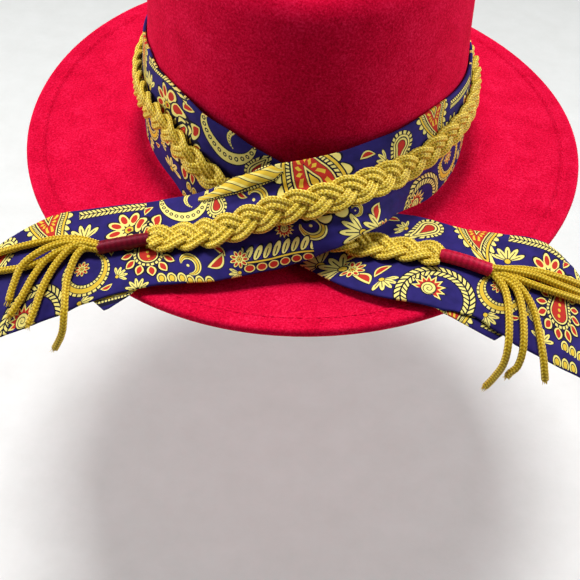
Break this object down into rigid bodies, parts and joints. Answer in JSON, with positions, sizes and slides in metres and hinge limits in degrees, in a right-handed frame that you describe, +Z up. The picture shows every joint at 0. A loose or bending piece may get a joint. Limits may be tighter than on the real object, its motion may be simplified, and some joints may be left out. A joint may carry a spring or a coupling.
{
  "type": "fedora",
  "caption": "Wide-brimmed red felt fedora with a printed scarf wound round the crown, its tails spread over the brim, and a braided gold cord ending in tassels.",
  "frame": {"origin": "middle of the head opening, level with the brim's edge", "axes": "+Z up through the crown, +Y to the front of the hat, +X to the right of someone who looks at the back"},
  "size_m": [0.3295, 0.3579, 0.184],
  "materials": {
    "red_felt": "matte wool felt",
    "printed_scarf": "matte printed cotton",
    "gold_cord": "knitted cord with a soft sheen",
    "red_thread": "satin thread"
  },
  "bodies": {
    "root": {"felt_body": "red_felt", "scarf_band": "printed_scarf", "braid_strand_1": "gold_cord", "braid_strand_2": "gold_cord", "braid_strand_3": "gold_cord", "thread_wrap_right": "red_thread", "thread_wrap_left": "red_thread", "tassel_right": "gold_cord", "tassel_left": "gold_cord"}
  },
  "joints": []
}
